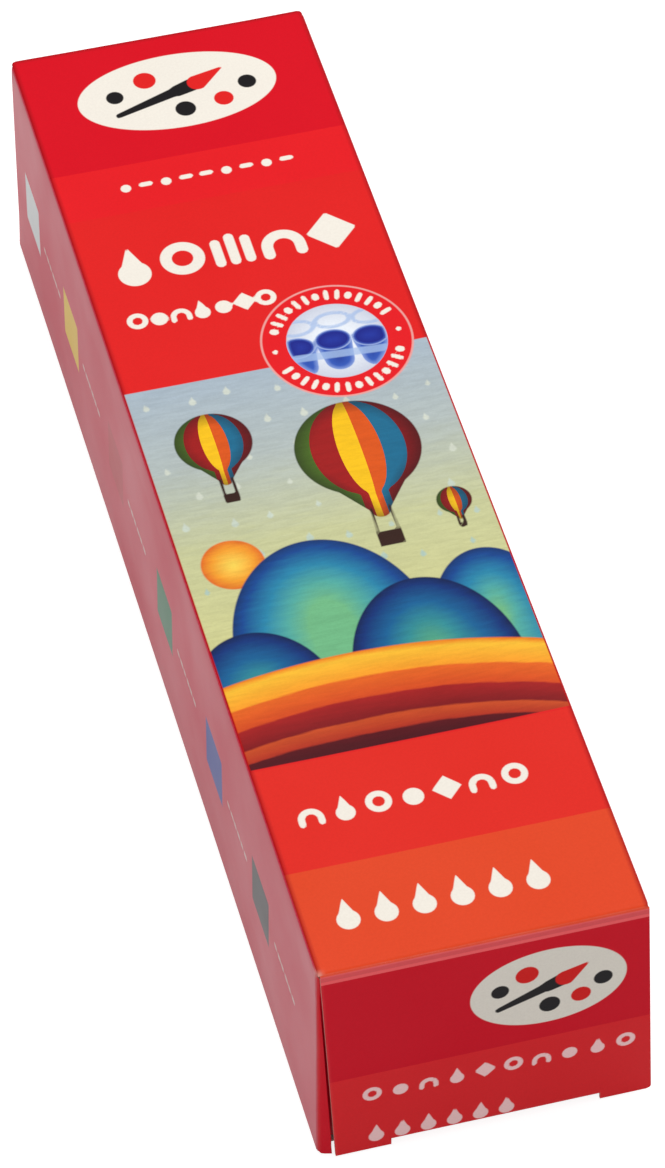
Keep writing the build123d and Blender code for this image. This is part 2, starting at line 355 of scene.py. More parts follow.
def roundel_print(x, y):
    """Red roundel with dashes round it, and a window that shows three pots of blue paint with clear lids."""
    cx, cy = ROUNDEL
    ring = 0.5 * (WINDOW_RADIUS + ROUNDEL_RADIUS)
    dashes = []
    for first in (-155, 25):
        for n, turn in enumerate(range(first, first + 131, 10)):
            a = math.radians(turn)
            inner, outer = (ring - 0.75, ring + 0.75) if n % 3 else (ring - 0.2, ring + 0.2)
            ends = [(cx + r * math.cos(a), cy + r * math.sin(a)) for r in (inner, outer)]
            dashes.append(bar(x, y, *ends, 0.42 if n % 3 else 0.62))
    dashes += [disc(x, y, (cx + side * ring, cy), 0.5) for side in (-1, 1)]
    window = disc(x, y, ROUNDEL, WINDOW_RADIUS)
    middles = [(cx + 6.3 * n - 0.6, cy + 0.5 * n * n - 0.4) for n in (-1, 0, 1)]
    pools = [oval(x, y, middle, (3.1, 2.35)) for middle in middles]
    walls = [bar(x, y, (mx, my + 0.8), (mx, my + 4.4), 3.05, 2.5) for mx, my in middles]
    lids = [
        np.minimum(oval(x, y, (mx + 1.0, my - 4.4), (3.3, 1.9)), -oval(x, y, (mx + 1.0, my - 4.4), (2.5, 1.2)))
        for mx, my in middles
    ]
    rail = bar(x, y, (cx - 9.5, cy + 2.3), (cx + 9.5, cy + 3.6), 0.8)
    return {
        "roundel": disc(x, y, ROUNDEL, ROUNDEL_RADIUS),
        "window": window,
        "pot_walls": within(joined(*walls), window),
        "pot_paint": within(joined(*pools), window),
        "pot_lids": within(joined(rail, *lids), window),
        "dashes": joined(*dashes),
    }


def top_print(x, y):
    """Everything printed on the top panel."""
    plate, marks, dabs = badge(x, y, BADGE_PLACE, BADGE_RADII)
    roundel = roundel_print(x, y)
    cream = joined(
        plate,
        ornament_row(x, y, 11.0, 41.5, 34.9, 2.3, "disc dash disc dash dash disc dash disc dash"),
        ornament_row(x, y, 5.0, 47.0, 53.6, 7.6, "drop ring bars arch diamond"),
        ornament_row(x, y, 4.8, 30.4, 65.9, 3.6, "ring disc arch drop disc diamond ring"),
        ornament_row(x, y, 5.0, 42.0, 174.6, 4.2, "arch drop ring disc diamond arch ring"),
        ornament_row(x, y, 5.0, 40.0, 194.6, 5.0, "drop " * 6),
        roundel.pop("dashes"),
    )
    # Distance in from the nearest fold, for the painted shade along the folds and for the picture's margin.
    fold = -np.minimum(np.minimum(x, 2 * SIDE - x), y + 0.1)
    return {"down": y, "fold": fold, "cream": cream, "marks": marks, "dabs": dabs, **picture_print(x, y), **roundel}


# The left panel's print, in mm from its far end and from its top
SWATCH_PLACES = (14.2, 43.0, 75.2, 109.1, 141.9, 171.2)
SWATCH_LEVEL = 23.5
SWATCH_HALF = (5.1, 5.4)


def side_print(x, y):
    """Six colour squares, each with a row of short dashes after it."""
    squares = [block(x, y, (place, SWATCH_LEVEL), *SWATCH_HALF) for place in SWATCH_PLACES]
    nearest = np.argmin([np.abs(x - place) for place in SWATCH_PLACES], axis=0)
    dashes = [
        bar(x, y, (place + 8.9 + 2.1 * n, SWATCH_LEVEL), (place + 9.7 + 2.1 * n + 0.3 * (n % 2), SWATCH_LEVEL), 0.42)
        for place in SWATCH_PLACES for n in range(6)
    ]
    return {"swatch": joined(*squares), "which": nearest.astype(float), "cream": joined(*dashes)}


def end_print(x, y):
    """The near closure's badge and its two lines of marks, in mm from its left side and from the top."""
    plate, marks, dabs = badge(x, y, (36.6, 13.5), (12.5, 8.5))
    cream = joined(
        plate,
        ornament_row(x, y, 7.0, 51.0, 30.4, 3.1, "ring disc arch drop diamond ring arch disc drop ring"),
        ornament_row(x, y, 7.5, 32.0, 40.2, 3.4, "drop " * 6),
    )
    return {"down": y, "cream": cream, "marks": marks, "dabs": dabs}


# Sheets of board


def stations(start, stop, pitch):
    """Evenly spaced values from start to stop, no further apart than the pitch."""
    return np.linspace(start, stop, max(2, math.ceil(abs(stop - start) / pitch - 1e-6) + 1))


def run(*pieces):
    """Rows of values set end to end, with each shared value kept once."""
    return np.concatenate([pieces[0], *[piece[1:] for piece in pieces[1:]]])


def span(low, high, pitch, low_bend=0.0, high_bend=0.0):
    """Places along a sheet: its flat part, with closer ones over a bend before or after it."""
    pieces = [stations(low - low_bend, low, BEND_PITCH), stations(low, high, pitch),
              stations(high, high + high_bend, BEND_PITCH)]
    return run(*pieces[0 if low_bend else 1:3 if high_bend else 2])


def bent(arc, flat, radius):
    """A sheet that is flat to a distance from its middle and then bends down round a radius.

    The place is the flat distance plus radius times the sine of the turn, and the drop is the
    radius times one less its cosine.
    """
    turn = np.maximum(np.abs(arc) - flat, 0) / radius
    place = np.sign(arc) * (np.minimum(np.abs(arc), flat) + radius * np.sin(turn))
    return place, radius * (1 - np.cos(turn))


def waves(x, y, depth):
    """Gentle hollows in a panel, never above it: a product of slow sines, shifted below zero."""
    return -depth * (0.5 + 0.5 * np.sin(x / 21 + 0.7) * np.sin(y / 13 + 0.4))


def wear_and_highlight_line(distance, half_width, strength):
    """Pale mark along a line, part rubbed ink and part painted highlight: strongest on it, and gone at about twice its
    half width.
    """
    return strength * np.exp(-((distance / half_width) ** 2))


def patch(points_x, points_y, points_z, crease, x=None, y=None, drawing=None):
    """One grid of the sheet: its points, its nearness to creases and its print."""
    shape = np.broadcast_shapes(*[np.shape(v) for v in (points_x, points_y, points_z, crease)])
    points = np.stack([np.broadcast_to(v, shape) for v in (points_x, points_y, points_z)], axis=-1)
    values = {"crease": np.broadcast_to(crease, shape)}
    if drawing is not None:
        values.update(drawing(np.broadcast_to(x, shape), np.broadcast_to(y, shape)))
    return {"points": points, "values": values}


def grid_faces(rows, columns, first):
    """Quads of a grid stored row by row, each run round the same way."""
    corner = first + np.arange(rows - 1)[:, None] * columns + np.arange(columns - 1)
    return np.stack([corner, corner + 1, corner + columns + 1, corner + columns], axis=-1).reshape(-1, 4)


def sheet_mesh(name, patches, flip):
    """Mesh of all the patches, with their values as point attributes and their shared edges welded."""
    points = np.concatenate([p["points"].reshape(-1, 3) for p in patches])
    first, faces = 0, []
    for p in patches:
        rows, columns = p["points"].shape[:2]
        faces.append(grid_faces(rows, columns, first))
        first += rows * columns
    faces = np.concatenate(faces)
    faces = faces[:, ::-1] if flip else faces
    mesh = bpy.data.meshes.new(name)
    mesh.vertices.add(len(points))
    mesh.vertices.foreach_set("co", (points * MM).astype(np.float32).ravel())
    mesh.loops.add(faces.size)
    mesh.loops.foreach_set("vertex_index", faces.astype(np.int32).ravel())
    mesh.polygons.add(len(faces))
    mesh.polygons.foreach_set("loop_start", np.arange(0, faces.size, 4, dtype=np.int32))
    mesh.update(calc_edges=True)
    for key in patches[0]["values"]:
        layer = mesh.attributes.new(key, "FLOAT", "POINT")
        value = np.concatenate([p["values"][key].ravel() for p in patches])
        layer.data.foreach_set("value", value.astype(np.float32))
    soften(mesh)
    return mesh


def soften(mesh):
    """Weld the shared edges, shade the faces smooth and keep the open edges sharp."""
    edit = bmesh.new()
    edit.from_mesh(mesh)
    bmesh.ops.remove_doubles(edit, verts=edit.verts, dist=1e-6)
    for face in edit.faces:
        face.smooth = True
    for edge in edit.edges:
        edge.smooth = not edge.is_boundary
    edit.to_mesh(mesh)
    edit.free()


def new_object(name, data):
    """A new object in the scene."""
    made = bpy.data.objects.new(name, data)
    bpy.context.scene.collection.objects.link(made)
    return made


def add_board(node, body, patches, print_material, flip=False):
    """A finished sheet in place of one CAD node: print outside, bare board inside and raw edges."""
    piece = new_object(node + "_board", sheet_mesh(node + "_board", patches, flip))
    for material in (print_material, inner_board_material(), raw_edge_material()):
        piece.data.materials.append(material)
    solid = piece.modifiers.new("Board", "SOLIDIFY")
    solid.thickness = bpy.context.scene.box_shape.board * MM
    solid.offset = -1
    solid.material_offset = 1
    solid.material_offset_rim = 2
    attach(piece, body)
    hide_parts(node)


def turned(points, pivot, angle, plane=(1, 2)):
    """Turn points by an angle in a plane, YZ unless given, about a pivot in its two coordinates."""
    first, second = plane
    a, b = points[..., first] - pivot[0], points[..., second] - pivot[1]
    made = np.array(points)
    made[..., first] = pivot[0] + a * np.cos(angle) - b * np.sin(angle)
    made[..., second] = pivot[1] + a * np.sin(angle) + b * np.cos(angle)
    return made


def moved(patches, change):
    """The same patches with their points changed."""
    return [{**p, "points": change(p["points"])} for p in patches]


def mirrored(patches):
    """The same patches on the box's other side."""
    return moved(patches, lambda points: points * (-1, 1, 1))


def turned_over(patches):
    """The same patches at the far end, where top and bottom change places."""
    return moved(patches, lambda points: points * (1, -1, -1) + (0, 0, TOP))


def rolled(height, reach=2.6, depth=0.12):
    """How far a side panel leans in close to its top crease: a parabola over its last few millimetres."""
    return depth * np.clip((height - TOP + reach) / reach, 0, 1) ** 2


def top_patches(pitch, depth, drawing, wave_fade=9, corner_round=1.1):
    """Top panel: across, flat with a bend at each side, and along, flat with a bend at the near end.

    Its sides follow the side panels, which lean in near their top creases. Its far corners are rounded.
    """
    bend, near = LONG_RADIUS * QUARTER, CLOSURE_RADIUS * QUARTER
    far = END - 0.05
    across = span(-FLAT_X, FLAT_X, pitch, bend, bend)
    along = span(-FLAT_Y, far, pitch, near)[:, None]
    x, side_drop = bent(across, FLAT_X, LONG_RADIUS)
    x = x - np.sign(x) * rolled(TOP - 0.16) * np.clip((np.abs(x) - 24.0) / 2.08, 0, 1)
    y, near_drop = bent(np.minimum(along, 0), FLAT_Y, CLOSURE_RADIUS)
    corner = np.clip(np.abs(x) - SIDE + 1.2, 0, corner_round)
    rounding = corner_round - np.sqrt(corner_round**2 - corner**2)
    y = y + np.maximum(along, 0) - rounding * np.clip(along - far + 3, 0, 3) / 3
    hollow = waves(x, y, depth) * np.minimum(1, (FLAT_X - np.abs(across)) / wave_fade)
    # A pale line along the near crease, part rubbed ink and part painted highlight, and a rubbed pale spot at the near
    # left corner.
    line = wear_and_highlight_line(along + FLAT_Y + near, 0.16, 0.3)
    spot = wear_and_highlight_line(np.hypot(across + FLAT_X + 0.3, along + FLAT_Y + near), 0.7, 1.3)
    worn = joined(line + 0 * across, spot)
    return [patch(x, y, TOP - side_drop - near_drop + hollow, worn, across + SIDE, END - along, drawing)]


def strip_width(z):
    """Width at a height of the strip between the left panel and the leaning edge of the near closure."""
    return LONG_RADIUS + LEAN * np.clip(FLAT_Z - z, 0, FLAT_Z) / FLAT_Z


def corner_shift(z, bulge):
    """How far the near left corner stands out at a height: most at its foot, none where it has no room."""
    room = np.clip((strip_width(z) - BELLY_LEAST) / 0.5, 0, 1)
    return bulge * room * (0.3 + 0.7 * np.clip(1 - z / 36, 0, 1) ** 1.6)


def side_patches(pitch, depth, drawing, folded_below=True, bulge=0.0, wave_fade=7, corner_run=9):
    """Left panel: up its height, flat with a bend at the top and foot, and along, a bend at each end."""
    flat = TOP / 2 - LONG_RADIUS
    bend = LONG_RADIUS * QUARTER
    end = DUST_RADIUS * QUARTER
    up = span(-flat, flat, pitch, bend if folded_below else LONG_RADIUS - 0.15, bend)
    along = span(-DUST_Y, DUST_Y, pitch, end, end)[:, None]
    z, fold_drop = bent(up, flat, LONG_RADIUS)
    if not folded_below:
        z, fold_drop = np.where(up < 0, up, z), np.where(up < 0, 0, fold_drop)
    y, end_drop = bent(along, DUST_Y, DUST_RADIUS)
    hollow = waves(y, z, depth) * np.clip((flat - np.abs(up)) / wave_fade, 0, 1)
    x = -SIDE + fold_drop + end_drop - hollow + rolled(z + TOP / 2)
    near_end = np.clip((-along - DUST_Y + corner_run) / corner_run, 0, 1) ** 2
    y = y - BELLY_AT_CREASE * corner_shift(z + TOP / 2, bulge) * near_end
    # A pale line down the near upright crease, part rubbed ink and part painted highlight, and a rubbed pale spot at
    # the near top corner.
    line = wear_and_highlight_line(along + DUST_Y + end, 0.35, 0.3)
    spot = wear_and_highlight_line(np.hypot(along + DUST_Y + end, up - flat - bend), 1.2, 1.2)
    return [patch(x, y, z + TOP / 2, joined(line + 0 * up, spot), END - along, TOP / 2 - up, drawing)]


def bottom_patches(pitch):
    """Bottom panel: like the top one, with its right bend a board's thickness further in."""
    bend = LONG_RADIUS * QUARTER
    right_flat = GLUE_FACE - LONG_RADIUS
    across = span(-FLAT_X, right_flat, pitch, bend, bend)
    along = span(-FLAP_END, FLAT_Y, pitch, high_bend=CLOSURE_RADIUS * QUARTER)[:, None]
    left, right = bent(across, FLAT_X, LONG_RADIUS), bent(across, right_flat, LONG_RADIUS)
    x, side_rise = [np.where(across < 0, a, b) for a, b in zip(left, right)]
    y, far_rise = bent(np.maximum(along, 0), FLAT_Y, CLOSURE_RADIUS)
    y = y + np.minimum(along, 0)
    return [patch(x, y, side_rise + far_rise, 0 * x)]


def glue_patches(pitch, height=12.5, inset=4.0, slant=3.0):
    """Glue flap: up from its bend inside the right panel, with ends that slant in as it rises."""
    centre = GLUE_FACE - LONG_RADIUS
    turn = stations(QUARTER, 2 * QUARTER, BEND_PITCH)[:, None]
    rise = stations(LONG_RADIUS, height, pitch)[:, None]
    x = np.concatenate([centre + LONG_RADIUS * np.sin(turn), GLUE_FACE + 0 * rise[1:]])
    z = np.concatenate([LONG_RADIUS * (1 - np.cos(turn)), rise[1:]])
    reach = END - inset - slant * z / height
    y = reach * np.linspace(-1, 1, 81)
    return [patch(x, y, z, 0 * z)]


def closure_edges(z, lean):
    """Left and right edges of the closure at a height: straight, with the right foot rounded."""
    share = (FLAT_Z - z) / (FLAT_Z - SHOULDER_Z)
    below = np.clip(SHOULDER_Z + SHOULDER_ROUND - z, 0, SHOULDER_ROUND)
    rounding = SHOULDER_ROUND - np.sqrt(SHOULDER_ROUND**2 - below**2)
    flare = RIGHT_FLARE * (1 - share) if lean else 0 * share
    return -FLAT_X + lean * share, FLAT_X + lean * share + flare - rounding


def fold_ends(lean):
    """X of the two slits between the closure's shoulders and its fold."""
    return -FLAT_X + lean + LEFT_SHOULDER, FLAT_X + lean - RIGHT_SHOULDER


def columns_between(left, right, lean, pitch):
    """X of the columns in three blocks, which meet at the ends of the fold."""
    fold_left, fold_right = fold_ends(lean)
    share_left = np.linspace(0, 1, math.ceil((fold_left + FLAT_X) / pitch) + 1)
    share_right = np.linspace(0, 1, math.ceil((FLAT_X + lean - fold_right) / pitch) + 1)
    left_block = left + (fold_left - left) * share_left
    middle = stations(fold_left, fold_right, pitch) + 0 * left
    right_block = fold_right + (right - fold_right) * share_right
    return left_block, middle, right_block


def side_by_side(blocks):
    """Blocks of columns joined, with each shared column kept once."""
    return np.concatenate([columns[:, (1 if n else 0):] for n, columns in enumerate(blocks)], axis=1)


def near_arc(level, first, last):
    """Y and Z over part of a near bend about a level, between two turns counted in eighths of a circle."""
    turn = stations(first * QUARTER, last * QUARTER, BEND_PITCH)[:, None]
    return -FLAT_Y - CLOSURE_RADIUS * np.sin(turn), level + CLOSURE_RADIUS * np.cos(turn)


def closure_patches(pitch, drawing, lean, foot):
    """Near closure in its shut place: its panel, the half bends at its top and foot, and its shoulders."""

    def printed(x, y, z, worn):
        return patch(x, y, z, worn, x + SIDE, TOP - z, drawing)

    rise = stations(TUCK_Z, FLAT_Z, pitch)[:, None]
    top_y, top_z = near_arc(FLAT_Z, 2, 1)
    y, z = np.concatenate([-END + 0 * rise, top_y[1:]]), np.concatenate([rise, top_z[1:]])
    left, right = closure_edges(np.minimum(z, FLAT_Z), lean)
    x = side_by_side(columns_between(left, right, lean, pitch))
    # Two pale lines along the top bend, part rubbed ink and part painted highlight, and a pale line along the left
    # edge: painted highlight for its lit cut edge.
    creased = wear_and_highlight_line(z - FLAT_Z + 1.1, 0.2, 0.8) + wear_and_highlight_line(z - TOP + 0.5, 0.14, 1.0)
    made = [printed(x, y, z, np.maximum(creased, wear_and_highlight_line(x - left, 0.25, 0.5)))]
    y, z = near_arc(TUCK_Z, 3, 2)
    made.append(printed(stations(*fold_ends(lean), pitch), y, z, 0 * z))
    z = stations(foot, TUCK_Z, 0.2)[:, None]
    left, right = closure_edges(z, lean)
    for x in columns_between(left, right, lean, pitch)[::2]:
        # The same pale line along the left edge: painted highlight for the lit cut edge.
        made.append(printed(x, -END + 0 * z, z, wear_and_highlight_line(x - left, 0.25, 0.5)))
    return made


def tuck_patches(pitch, lean=0.0, side_room=2.5, taper=1.2, rounding=5.0, neck=1.6, neck_run=3.2):
    """Near tuck flap in its shut place: its half of the fold and a flat flap with rounded inner corners.

    Its sides run in towards the neck at the fold.
    """
    under = TUCK_Z - CLOSURE_RADIUS
    inner = TUCK_DEPTH - END
    depth = stations(inner, -FLAT_Y, pitch)[:, None]
    near_corner = np.clip(depth - inner + rounding, 0, rounding)
    half = SIDE - side_room - taper * (depth + FLAT_Y) / (inner + FLAT_Y)
    half = half - rounding + np.sqrt(rounding**2 - near_corner**2)
    half = half - neck * np.clip((neck_run - FLAT_Y - depth) / neck_run, 0, 1)
    x = side_by_side(columns_between(-half, half, lean, pitch))
    made = [patch(x, depth, under + 0 * depth, 0 * depth)]
    y, z = near_arc(TUCK_Z, 4, 3)
    made.append(patch(stations(*fold_ends(lean), pitch), y, z, 0 * z))
    return made


def belly_end(z):
    """Distance from the crease at which the belly drops, a little short of the closure's edge."""
    return np.maximum(strip_width(z), BELLY_LEAST) - BELLY_GAP - BELLY_FOOT_GAP * np.clip((4 - z) / 2, 0, 1)


def dust_heights(reach, share, bulge):
    """Heights of the flap's points: from its heel up to its slanted upper edge, with rounded far corners."""
    foot, heel = (belly_end(0), 0.15) if bulge else (2.0, 0.65)
    low = np.interp(reach, [0, 0.25, 0.6, foot - BELLY_DROP, foot, DUST_REACH],
                    [0.75, 0.5 + 0.5 * heel, heel, heel, 1.85, 3.2])
    high = FLAT_Z - 0.35 - 0.5 * np.maximum(reach, DUST_RADIUS) + 0.8 * np.clip((0.8 - reach) / 0.5, 0, 1)
    rounding = 3.0 - np.sqrt(9.0 - np.clip(reach - DUST_REACH + 3.0, 0, 3.0) ** 2)
    return low + rounding + (high - low - 2 * rounding) * share


def beside_closure(columns, end):
    """Columns moved so that three blocks of them meet at the belly's end, whose distance changes with height."""
    root = columns[0]
    inner = root + (columns - root) * (end - BELLY_DROP - root) / (RISE_END - root)
    step = end + BELLY_DROP * ((columns - RISE_END) / (DROP_END - RISE_END) - 1)
    outer = end + (BESIDE_END - end) * (columns - DROP_END) / (BESIDE_END - DROP_END)
    places = [columns <= RISE_END, columns <= DROP_END, columns < BESIDE_END]
    return np.select(places, [inner, step, outer], columns)


def dust_patches(pitch, bulge):
    """Near left dust flap in its shut place: its half bend and a flat flap, which bellies out beside the closure.

    Over the bend the depth is a circle of the bend's radius. The belly rises from the crease to its
    end and drops there within BELLY_DROP.
    """
    root = DUST_RADIUS * (1 - math.cos(QUARTER))
    columns = run(stations(root, RISE_END, 0.12), stations(RISE_END, DROP_END, 0.05),
                  stations(DROP_END, BESIDE_END, 0.3), stations(BESIDE_END, DUST_REACH, pitch))
    share = np.linspace(0, 1, math.ceil(TOP / pitch) + 1)[:, None]
    reach = columns + 0 * share
    for _ in range(2 if bulge else 0):
        reach = beside_closure(columns, belly_end(dust_heights(reach, share, bulge)))
    z = dust_heights(reach, share, bulge)
    end = belly_end(z)
    share_out = (reach - root) / (end - root)
    profile = np.interp(share_out, [0, 0.14, 0.45, 1.0], [BELLY_AT_CREASE, 0.88, 1.0, 1.12])
    profile = profile * np.clip((end - reach) / BELLY_DROP, 0, 1)
    depth = DUST_Y + np.sqrt(DUST_RADIUS**2 - np.clip(DUST_RADIUS - reach, 0, None) ** 2)
    crease = wear_and_highlight_line(reach - 0.2, 0.3, 0.3) + 0 * z
    return [patch(reach - SIDE, -depth - corner_shift(z, bulge) * profile, z, crease)]


def ajar(patches, fold=0.0):
    """Near closure's pieces as they stand open: bent about the tuck's line, then swung out."""
    angle = bpy.context.scene.box_shape.ajar
    return moved(patches, lambda points: turned(turned(points, TUCK_PIVOT, fold * angle), CLOSURE_PIVOT, -angle))


def dust_ajar(patches, angle):
    """Dust flap swung out about its upright crease."""
    return moved(patches, lambda points: turned(points, DUST_PIVOT, -angle, (0, 1)))


# Materials


def linear(colour):
    """A colour as it looks on screen, turned to the values that shaders take."""
    values = np.array(colour, float)
    values = np.where(values <= 0.04045, values / 12.92, ((values + 0.055) / 1.055) ** 2.4)
    return (*values, 1.0)


def put(tree, socket, value):
    """Link an input to another node's output, or set its own value."""
    if isinstance(value, bpy.types.NodeSocket):
        tree.links.new(value, socket)
    else:
        socket.default_value = value


def add(tree, kind, inputs=None, **settings):
    """A node with its settings, and its inputs linked or set."""
    made = tree.nodes.new(kind)
    for key, value in settings.items():
        setattr(made, key, value)
    for key, value in (inputs or {}).items():
        put(tree, made.inputs[key], value)
    return made


def calculate(tree, operation, first, second):
    """One step of arithmetic on values or sockets."""
    return add(tree, "ShaderNodeMath", {0: first, 1: second}, operation=operation).outputs[0]


def attribute(tree, name):
    """A point attribute's value."""
    return add(tree, "ShaderNodeAttribute", attribute_name=name).outputs["Fac"]


def placed(tree, scale=(1, 1, 1)):
    """Object coordinates stretched by a scale."""
    where = add(tree, "ShaderNodeTexCoord").outputs["Object"]
    return add(tree, "ShaderNodeMapping", {"Vector": where, "Scale": scale}).outputs["Vector"]


def noise(tree, scale, detail=3.0, roughness=0.5, stretch=(1, 1, 1)):
    """Noise value from 0 to 1 over the object's coordinates."""
    inputs = {"Vector": placed(tree, stretch), "Scale": scale, "Detail": detail, "Roughness": roughness}
    return add(tree, "ShaderNodeTexNoise", inputs).outputs["Fac"]


def mapped(tree, value, low, high, new_low=0.0, new_high=1.0):
    """A value moved from one range to another and kept inside it."""
    inputs = {"Value": value, "From Min": low, "From Max": high, "To Min": new_low, "To Max": new_high}
    return add(tree, "ShaderNodeMapRange", inputs).outputs["Result"]


def ramp(tree, value, stops, interpolation="LINEAR"):
    """Colour ramp through (place, colour) stops, with colours as they look on screen."""
    made = add(tree, "ShaderNodeValToRGB", {"Fac": value})
    made.color_ramp.interpolation = interpolation
    while len(made.color_ramp.elements) < len(stops):
        made.color_ramp.elements.new(0.5)
    for element, (place, colour) in zip(made.color_ramp.elements, stops):
        element.position = place
        element.color = linear(colour)
    return made.outputs["Color"]


def blended(tree, share, first, second, mode="MIX"):
    """Two colours mixed by a share."""
    inputs = {0: share, 6: first, 7: second}
    return add(tree, "ShaderNodeMix", inputs, data_type="RGBA", blend_type=mode).outputs[2]


def new_group(name, inputs, outputs):
    """A new node group with named sockets, and its input and output nodes."""
    group = bpy.data.node_groups.new(name, "ShaderNodeTree")
    for label, kind, default in inputs:
        socket = group.interface.new_socket(label, in_out="INPUT", socket_type=kind)
        socket.default_value = default
    for label, kind in outputs:
        group.interface.new_socket(label, in_out="OUTPUT", socket_type=kind)
    return group, group.nodes.new("NodeGroupInput"), group.nodes.new("NodeGroupOutput")


FLOAT, COLOUR = "NodeSocketFloat", "NodeSocketColor"


def ink_layer_group():
    """Puts one colour over another inside a shape, from the distance to the shape's edge."""
    name = "Ink layer"
    if name in bpy.data.node_groups:
        return bpy.data.node_groups[name]
    group, source, sink = new_group(name, [
        ("Under", COLOUR, (1, 1, 1, 1)), ("Over", COLOUR, (0, 0, 0, 1)), ("Distance", FLOAT, 0.0),
        ("Edge", FLOAT, 0.1), ("Strength", FLOAT, 1.0),
    ], [("Color", COLOUR), ("Mask", FLOAT)])
    given = source.outputs
    outside = calculate(group, "MULTIPLY", given["Edge"], -1.0)
    inside = add(group, "ShaderNodeMapRange", {
        "Value": given["Distance"], "From Min": outside, "From Max": given["Edge"],
    })
    mask = calculate(group, "MULTIPLY", inside.outputs["Result"], given["Strength"])
    put(group, sink.inputs["Color"], blended(group, mask, given["Under"], given["Over"]))
    put(group, sink.inputs["Mask"], mask)
    return group


def ink(tree, under, over, shape, edge=0.1, strength=1.0):
    """One ink layer over what lies under it. Its shape is an attribute's name or a distance to its edge."""
    inputs = {
        "Under": under, "Over": over if isinstance(over, bpy.types.NodeSocket) else linear(over),
        "Distance": attribute(tree, shape) if isinstance(shape, str) else shape, "Edge": edge, "Strength": strength,
    }
    return add(tree, "ShaderNodeGroup", inputs, node_tree=ink_layer_group()).outputs["Color"]


# Pale pink of the crease marks: ink rubbed pale at the creases, and painted highlight where a bend catches the light.
WEAR_AND_HIGHLIGHT_INK = (0.93, 0.72, 0.66)


def coated_print_group():
    """Coated board's surface: mottled ink, pale crease marks that are part rubbed ink and part painted highlight, and
    the roughness and height that go with them.
    """
    name = "Coated print"
    if name in bpy.data.node_groups:
        return bpy.data.node_groups[name]
    group, source, sink = new_group(name, [
        ("Color", COLOUR, (1, 1, 1, 1)), ("Crease", FLOAT, 0.0), ("Wear", FLOAT, 0.5),
        ("Worn Color", COLOUR, linear(WEAR_AND_HIGHLIGHT_INK)),
    ], [("Color", COLOUR), ("Roughness", FLOAT), ("Height", FLOAT)])
    given = source.outputs
    fine = noise(group, 2600.0, 4.0, 0.6)
    cloud = noise(group, 34.0, 3.0, 0.55)
    chips = noise(group, 110.0, 4.0, 0.5)
    speck = mapped(group, fine, 0.35, 0.65, 0.0, 0.10)
    speckled = blended(group, speck, given["Color"], (0.55, 0.5, 0.5, 1), "MULTIPLY")
    tone = mapped(group, cloud, 0.3, 0.7, 0.0, 0.12)
    mottled = blended(group, tone, speckled, (0.8, 0.8, 0.8, 1), "MULTIPLY")
    # Painted highlight and rubbed ink along the creases: the crease value, broken up by chips, mixes in the pale
    # colour.
    line = calculate(group, "MULTIPLY", given["Crease"], mapped(group, chips, 0.3, 0.7, 0.35, 1.0))
    worn = calculate(group, "MULTIPLY", line, given["Wear"])
    put(group, sink.inputs["Color"], blended(group, worn, mottled, given["Worn Color"]))
    put(group, sink.inputs["Roughness"], mapped(group, cloud, 0.3, 0.7, 0.34, 0.44))
    put(group, sink.inputs["Height"], fine)
    return group


def new_material(name):
    """A new material and its node tree."""
    material = bpy.data.materials.new(name)
    material.use_nodes = True
    return material, material.node_tree


def surface(tree, colour, roughness, height, strength, distance):
    """Give the shader its colour, its roughness and a fine relief."""
    shader = tree.nodes["Principled BSDF"]
    relief = add(tree, "ShaderNodeBump", {"Height": height, "Strength": strength, "Distance": distance})
    for key, value in (("Base Color", colour), ("Roughness", roughness), ("Normal", relief.outputs["Normal"])):
        put(tree, shader.inputs[key], value)
    return shader


def print_material(name, colour_of, wear, gloss=0.1, worn=WEAR_AND_HIGHLIGHT_INK):
    """Printed and varnished board: colour_of gives the colour socket of the print in the new tree."""
    if name in bpy.data.materials:
        return bpy.data.materials[name]
    material, tree = new_material(name)
    # The crease marks' strength and colour stand for rubbed ink and painted highlight together.
    inputs = {"Color": colour_of(tree), "Crease": attribute(tree, "crease"), "Wear": wear, "Worn Color": linear(worn)}
    coated = add(tree, "ShaderNodeGroup", inputs, node_tree=coated_print_group()).outputs
    shader = surface(tree, coated["Color"], coated["Roughness"], coated["Height"], 0.12, 0.00004)
    shader.inputs["Specular IOR Level"].default_value = gloss
    return material


def plain_print(tree):
    """Crimson all over, as on the panels that carry no drawing."""
    colours = bpy.context.scene.print_colours
    tone = noise(tree, 12.0)
    return blended(tree, mapped(tree, tone, 0.3, 0.7, 0.0, 0.15), linear(colours.crimson), linear(colours.deep_red))


def plain_material():
    """The print of the panels that carry no drawing."""
    return print_material("Plain print", plain_print, 0.35)


def shaded(tree, name, reach, stops, strokes, wander):
    """Colours that follow the depth inside a shape, made to waver by brush strokes."""
    depth = attribute(tree, name)
    waver = mapped(tree, strokes, 0.2, 0.8, -wander, wander)
    return ramp(tree, mapped(tree, calculate(tree, "ADD", depth, waver), 0.0, reach), stops)


